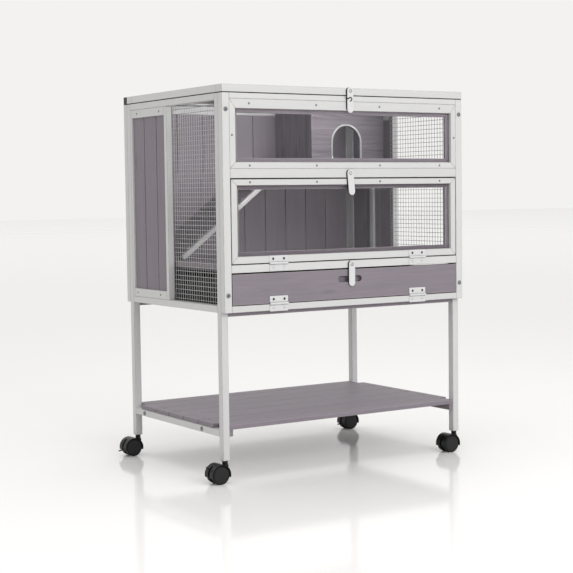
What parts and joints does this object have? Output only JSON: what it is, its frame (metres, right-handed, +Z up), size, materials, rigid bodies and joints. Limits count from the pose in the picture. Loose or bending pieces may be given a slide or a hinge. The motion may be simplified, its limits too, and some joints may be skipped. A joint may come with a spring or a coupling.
{
  "type": "rabbit hutch",
  "caption": "Tall indoor rabbit hutch of painted wood with a glazed door, mesh sides, an inner ramp and nest, a pull-down flap, an open shelf and braked swivel casters",
  "frame": {"origin": "on the floor, under the middle of the whole outline", "axes": "+X to the right seen from the front, +Y from the front to the back, +Z up"},
  "size_m": [0.8566, 0.5774, 1.0544],
  "materials": {
    "white_paint": "white painted solid wood, satin",
    "grey_paint": "grey-mauve painted solid wood, satin, grain just visible",
    "clear_sheet": "clear acrylic sheet",
    "wire": "white coated welded wire",
    "hardware": "white enamelled steel",
    "screw_steel": "dark plated steel",
    "tray_plastic": "black moulded plastic",
    "caster_plastic": "black moulded nylon",
    "wheel_plastic": "dark grey moulded nylon with a hard tread",
    "black_paint": "black painted wood"
  },
  "bodies": {
    "hutch": {"leg_front_left": "white_paint", "leg_front_right": "white_paint", "leg_rear_left": "white_paint", "leg_rear_right": "white_paint", "front_stiles": "white_paint", "front_top_rail": "white_paint", "window_rail": "white_paint", "mid_rail": "white_paint", "bottom_rail": "white_paint", "upper_window_frame": "white_paint", "upper_window_pane": "clear_sheet", "upper_window_batten": "grey_paint", "back_frame": "white_paint", "back_planks": "grey_paint", "side_frame_left": "white_paint", "side_frame_right": "white_paint", "side_planks_left": "grey_paint", "side_planks_right": "grey_paint", "side_mesh_left": "wire", "side_mesh_right": "wire", "floor_rails": "grey_paint", "lower_floor": "grey_paint", "upper_floor": "grey_paint", "base_board": "grey_paint", "tray": "tray_plastic", "nest_front_wall": "grey_paint", "nest_side_wall": "grey_paint", "arch_trim": "white_paint", "ramp_rails": "white_paint", "ramp_deck": "grey_paint", "rear_hinge_rail": "black_paint", "fixed_hinge_leaves": "hardware", "shelf_end_rails": "white_paint", "shelf_bearers": "grey_paint", "shelf_boards": "grey_paint", "bolts": "screw_steel", "caster_stems": "screw_steel"},
    "roof": {"roof_frame": "white_paint", "roof_boards": "grey_paint", "roof_hinge_leaves": "hardware"},
    "door": {"door_frame": "white_paint", "door_pane": "clear_sheet", "door_batten": "grey_paint", "door_hinge_leaves": "hardware"},
    "flap": {"flap_board": "grey_paint", "flap_hinge_leaves": "hardware"},
    "roof_latch_body": {"roof_latch": "hardware"},
    "door_latch_body": {"door_latch": "hardware"},
    "flap_latch_body": {"flap_latch": "hardware"},
    "caster_front_left": {"caster_housing_front_left": "caster_plastic"},
    "wheels_front_left": {"caster_wheels_front_left": "wheel_plastic"},
    "brake_front_left": {"brake_lever_front_left": "caster_plastic"},
    "caster_front_right": {"caster_housing_front_right": "caster_plastic"},
    "wheels_front_right": {"caster_wheels_front_right": "wheel_plastic"},
    "caster_rear_left": {"caster_housing_rear_left": "caster_plastic"},
    "wheels_rear_left": {"caster_wheels_rear_left": "wheel_plastic"},
    "brake_rear_left": {"brake_lever_rear_left": "caster_plastic"},
    "caster_rear_right": {"caster_housing_rear_right": "caster_plastic"},
    "wheels_rear_right": {"caster_wheels_rear_right": "wheel_plastic"},
    "brake_rear_right": {"brake_lever_rear_right": "caster_plastic"}
  },
  "joints": [
    {"name": "roof_hinge", "type": "hinge", "parent": "hutch", "child": "roof", "pos_m": [0.02525, 0.2652, 1.0514], "axis": [-1, 0, 0], "range_deg": [0, 95]},
    {"name": "door_hinge", "type": "hinge", "parent": "hutch", "child": "door", "pos_m": [0.02525, -0.2857, 0.57825], "axis": [1, 0, 0], "range_deg": [0, 165]},
    {"name": "flap_hinge", "type": "hinge", "parent": "hutch", "child": "flap", "pos_m": [0.02525, -0.2857, 0.4705], "axis": [1, 0, 0], "range_deg": [0, 165]},
    {"name": "roof_latch_turn", "type": "hinge", "parent": "roof", "child": "roof_latch_body", "pos_m": [0.02925, -0.2823, 1.04], "axis": [0, 1, 0], "range_deg": [0, 160]},
    {"name": "door_latch_turn", "type": "hinge", "parent": "door", "child": "door_latch_body", "pos_m": [0.02925, -0.2823, 0.793], "axis": [0, 1, 0], "range_deg": [0, 90]},
    {"name": "flap_latch_turn", "type": "hinge", "parent": "flap", "child": "flap_latch_body", "pos_m": [0.02925, -0.2823, 0.5445], "axis": [0, 1, 0], "range_deg": [0, 90]},
    {"name": "caster_swivel_front_left", "type": "hinge", "parent": "hutch", "child": "caster_front_left", "pos_m": [-0.36474, -0.2523, 0.06], "axis": [0, 0, 1], "continuous": true},
    {"name": "wheel_spin_front_left", "type": "hinge", "parent": "caster_front_left", "child": "wheels_front_left", "pos_m": [-0.38675, -0.2523, 0.025], "axis": [0, 1, 0], "continuous": true},
    {"name": "brake_pedal_front_left", "type": "hinge", "parent": "caster_front_left", "child": "brake_front_left", "pos_m": [-0.38675, -0.2523, 0.025], "axis": [0, 1, 0], "range_deg": [-25, 0]},
    {"name": "caster_swivel_front_right", "type": "hinge", "parent": "hutch", "child": "caster_front_right", "pos_m": [0.41525, -0.2523, 0.06], "axis": [0, 0, 1], "continuous": true},
    {"name": "wheel_spin_front_right", "type": "hinge", "parent": "caster_front_right", "child": "wheels_front_right", "pos_m": [0.39326, -0.2523, 0.025], "axis": [0, 1, 0], "continuous": true},
    {"name": "caster_swivel_rear_left", "type": "hinge", "parent": "hutch", "child": "caster_rear_left", "pos_m": [-0.36474, 0.2557, 0.06], "axis": [0, 0, 1], "continuous": true},
    {"name": "wheel_spin_rear_left", "type": "hinge", "parent": "caster_rear_left", "child": "wheels_rear_left", "pos_m": [-0.38675, 0.2557, 0.025], "axis": [0, 1, 0], "continuous": true},
    {"name": "brake_pedal_rear_left", "type": "hinge", "parent": "caster_rear_left", "child": "brake_rear_left", "pos_m": [-0.38675, 0.2557, 0.025], "axis": [0, 1, 0], "range_deg": [0, 25]},
    {"name": "caster_swivel_rear_right", "type": "hinge", "parent": "hutch", "child": "caster_rear_right", "pos_m": [0.41525, 0.2557, 0.06], "axis": [0, 0, 1], "continuous": true},
    {"name": "wheel_spin_rear_right", "type": "hinge", "parent": "caster_rear_right", "child": "wheels_rear_right", "pos_m": [0.39326, 0.2557, 0.025], "axis": [0, 1, 0], "continuous": true},
    {"name": "brake_pedal_rear_right", "type": "hinge", "parent": "caster_rear_right", "child": "brake_rear_right", "pos_m": [0.39326, 0.2557, 0.025], "axis": [0, 1, 0], "range_deg": [0, 25]}
  ]
}
